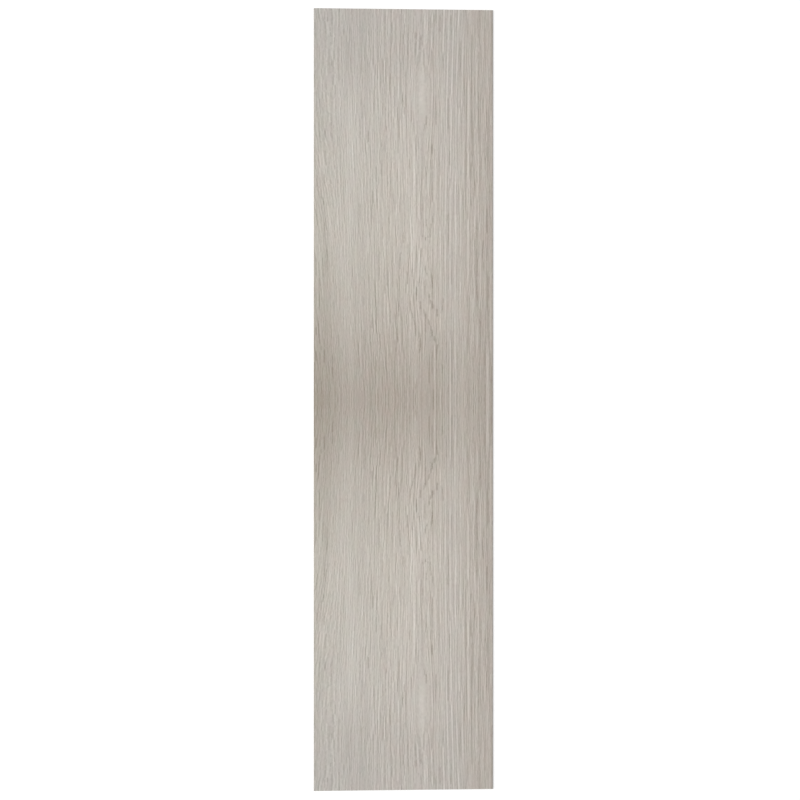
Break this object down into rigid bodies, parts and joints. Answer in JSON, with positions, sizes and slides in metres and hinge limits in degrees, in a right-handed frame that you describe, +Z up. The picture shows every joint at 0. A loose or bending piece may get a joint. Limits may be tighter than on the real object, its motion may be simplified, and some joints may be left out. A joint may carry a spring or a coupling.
{
  "type": "peel and stick vinyl plank",
  "caption": "Thin flat rectangular floor plank with a printed pale greige wood-grain face, eased top edges and a flat self-adhesive back, laid edge to edge on a smooth subfloor.",
  "frame": {"origin": "centre of the flat underside, which is the adhesive back", "axes": "+Z up out of the printed face, +Y along the length and the grain, +X across the width"},
  "size_m": [0.21, 0.914, 0.002],
  "materials": {
    "printed_vinyl": "matte embossed pale greige oak print under a clear wear layer"
  },
  "bodies": {
    "root": {"vinyl_plank": "printed_vinyl"}
  },
  "joints": []
}
